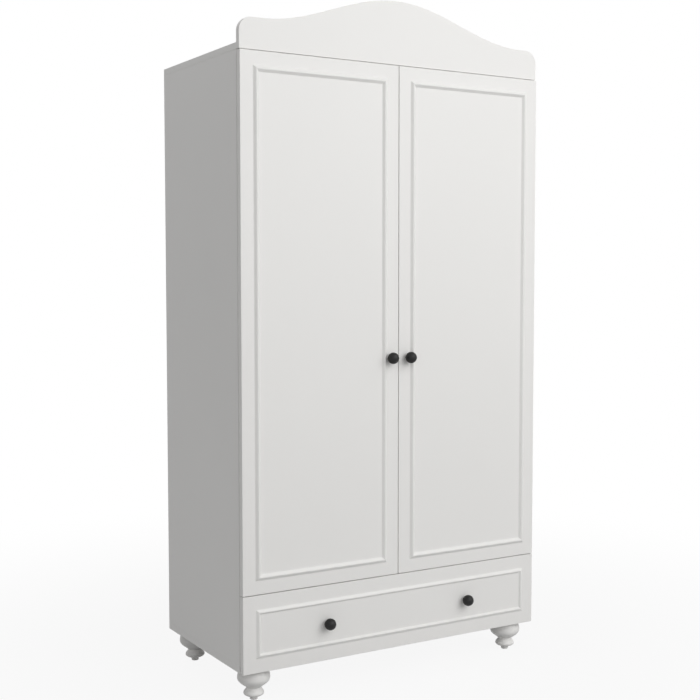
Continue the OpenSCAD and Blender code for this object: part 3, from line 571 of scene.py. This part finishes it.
black = coated(
    "black satin lacquer",
    (0.009, 0.009, 0.009),
    shade=0.3,
    grain=1.2 * MM,
    depth=0.015 * MM,
    roughness=0.46,
    change=0.10,
    Specular_IOR_Level=0.3,
)
foot_r, neck_r, rim_r, neck_flare = 6.5 * MM, 5.5 * MM, 0.6 * MM, 0.8 * MM


def knob_profile(ball_r, length):
    """Foot with a rounded rim, a hollow neck, and a ball from where it meets the
    neck round to its tip."""
    rim = np.linspace(-math.pi / 2, math.pi / 2, 9)
    foot = np.stack([foot_r - rim_r + rim_r * np.cos(rim), rim_r * (1 + np.sin(rim))], 1)
    ball_z = length - ball_r
    meet = -math.acos((neck_r + neck_flare) / ball_r)
    sweep = np.linspace(meet, math.pi / 2, 41)
    ball = np.stack([ball_r * np.cos(sweep), ball_z + ball_r * np.sin(sweep)], 1)
    s = np.linspace(0.0, 1.0, 15)[1:-1]
    z = foot[-1, 1] + s * (ball[0, 1] - foot[-1, 1])
    start, end = foot[-1, 0], ball[0, 0]
    straight = start + s * (end - start)
    dip = np.sin(math.pi * s) * ((start + end) / 2 - neck_r)
    neck = np.stack([straight - dip, z], 1)
    first = np.array([[0.0, 0.0]])
    return np.concatenate([first, foot, neck, ball])


for node, body in (
    ("left_door_knob", "left_door"),
    ("right_door_knob", "right_door"),
    ("left_drawer_knob", "drawer"),
    ("right_drawer_knob", "drawer"),
):
    box_low, box_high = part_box(node)
    ball_r = (box_high.z - box_low.z) / 2
    profile = knob_profile(ball_r, box_high.y - box_low.y)
    seat = ((box_low.x + box_high.x) / 2, box_high.y, (box_low.z + box_high.z) / 2)
    knob = turned("black_" + node, profile[:, 0], profile[:, 1], seat, (0, -1, 0), black)
    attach(knob, body)
    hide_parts(node)

# --- Feet -----------------------------------------------------------------
# Beech turned to a bun, a neck, a ring and a small tip, and sprayed white
# like the fronts. A threaded stud holds each one in the base panel.
bun_h, ring_h, tip_h = 56.5 * MM, 25.5 * MM, 10 * MM
seat_r, waist_r, ring_r, tip_r = 30.5 * MM, 20.5 * MM, 29 * MM, 11 * MM
tip_round, ring_root = 3 * MM, 2 * MM
widest_in_ring, widest_in_bun = 0.365, 0.485


def flank(r0, r1, z0, z1, power):
    """Widens from r0 at height z0 to r1 at z1 as (1 - (1 - t)^2)^power, with more
    points near z0, where it starts out flat."""
    t = np.linspace(0.0, 1.0, 33) ** 1.6
    return np.stack([r0 + (r1 - r0) * (1 - (1 - t) ** 2) ** power, z0 + (z1 - z0) * t], 1)


def foot_profile(bun_r):
    """From the floor up: a rounded tip, a ring with a hollow above it, the neck, the
    bun and the flat seat under the base panel."""
    tip = np.linspace(-math.pi / 2, 0.0, 10)
    neck_z = tip_h + ring_h
    top = neck_z + bun_h
    ring_z = tip_h + widest_in_ring * ring_h
    bun_z = neck_z + widest_in_bun * bun_h
    parts = [
        [[0.0, 0.0]],
        np.stack([tip_r - tip_round * (1 - np.cos(tip)), tip_round * (1 + np.sin(tip))], 1),
        [[tip_r, tip_h]],
        flank(tip_r + ring_root, ring_r, tip_h, ring_z, power=0.73),
        flank(waist_r, ring_r, neck_z, ring_z, power=2.0)[-2::-1],
        flank(waist_r, bun_r, neck_z, bun_z, power=1.25)[1:],
        flank(seat_r, bun_r, top, bun_z, power=0.57)[-2::-1],
        [[0.0, top]],
    ]
    return np.concatenate(parts)


for node in ("front_left_foot", "front_right_foot", "rear_left_foot", "rear_right_foot"):
    box_low, box_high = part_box(node)
    profile = foot_profile((box_high.x - box_low.x) / 2)
    seat = ((box_low.x + box_high.x) / 2, (box_low.y + box_high.y) / 2, box_low.z)
    foot = turned("turned_" + node, profile[:, 0], profile[:, 1], seat, (0, 0, 1), lacquer)
    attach(foot, "carcass")
    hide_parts(node)

# --- Drawer box -----------------------------------------------------------
# Sides and back of 12 mm board faced white, and a thin white hardboard bottom
# that slides into a groove all round.


def refinish(names, material):
    """Gives CAD nodes another material in all their slots."""
    for name in names:
        for slot in nodes[name].material_slots:
            slot.material = material


for node in ("left_drawer_side", "right_drawer_side", "drawer_back"):
    eased_board(node, "drawer", melamine, 0.5 * MM)
refinish(("drawer_bottom",), white_face)

# --- Hinges, slides, rail, brackets and screws ----------------------------
# Bought-in metal: pressed nickel-plated hinges, zinc-plated slides, brackets
# and screws, and a chromed oval rail in its end sockets.


def plated(name, color, roughness, grain, change, depth):
    """Plated or rolled metal: the coating group gives its faint cloudiness."""
    cloudiness = 0.25
    return coated(name, color, cloudiness, grain, depth, roughness, change, Metallic=1.0)


zinc = plated("bright zinc", (0.62, 0.64, 0.67), 0.32, 3.0 * MM, 0.2, 0.01 * MM)
nickel = plated("satin nickel", (0.60, 0.585, 0.55), 0.24, 1.5 * MM, 0.1, 0.006 * MM)
chrome = plated("chrome", (0.78, 0.79, 0.80), 0.08, 6.0 * MM, 0.05, 0.004 * MM)

refinish(("hanging_rail", "rail_sockets"), chrome)
refinish(("hinge_plates", "hinge_arms", "left_hinge_cups", "right_hinge_cups"), nickel)
refinish(
    (
        "crown_brackets",
        "shelf_pins",
        "foot_studs",
        "foot_nuts",
        "cam_bolts",
        "cam_locks",
        "panel_screws",
        "back_nails",
        "hinge_arm_screws",
        "left_slide_outer",
        "right_slide_outer",
        "left_slide_middle",
        "right_slide_middle",
        "left_slide_inner",
        "right_slide_inner",
        "left_knob_screw",
        "right_knob_screw",
        "left_cup_screws",
        "right_cup_screws",
        "drawer_knob_screws",
        "drawer_screws",
        "drawer_cam_bolts",
        "drawer_cam_locks",
    ),
    zinc,
)

# --- Dowels and buffers ---------------------------------------------------
# Bare beech dowels inside the joints, and soft clear buffers stuck to the
# doors where they meet the divider.
beech = fibre_board("bare beech", (0.66, 0.47, 0.30), (0.52, 0.34, 0.20))
refinish(("wood_dowels",), beech)
clear = coated(
    "clear rubber",
    (0.72, 0.74, 0.75),
    shade=0.05,
    grain=0.8 * MM,
    depth=0.01 * MM,
    roughness=0.3,
    change=0.1,
)
refinish(("left_door_buffers", "right_door_buffers"), clear)
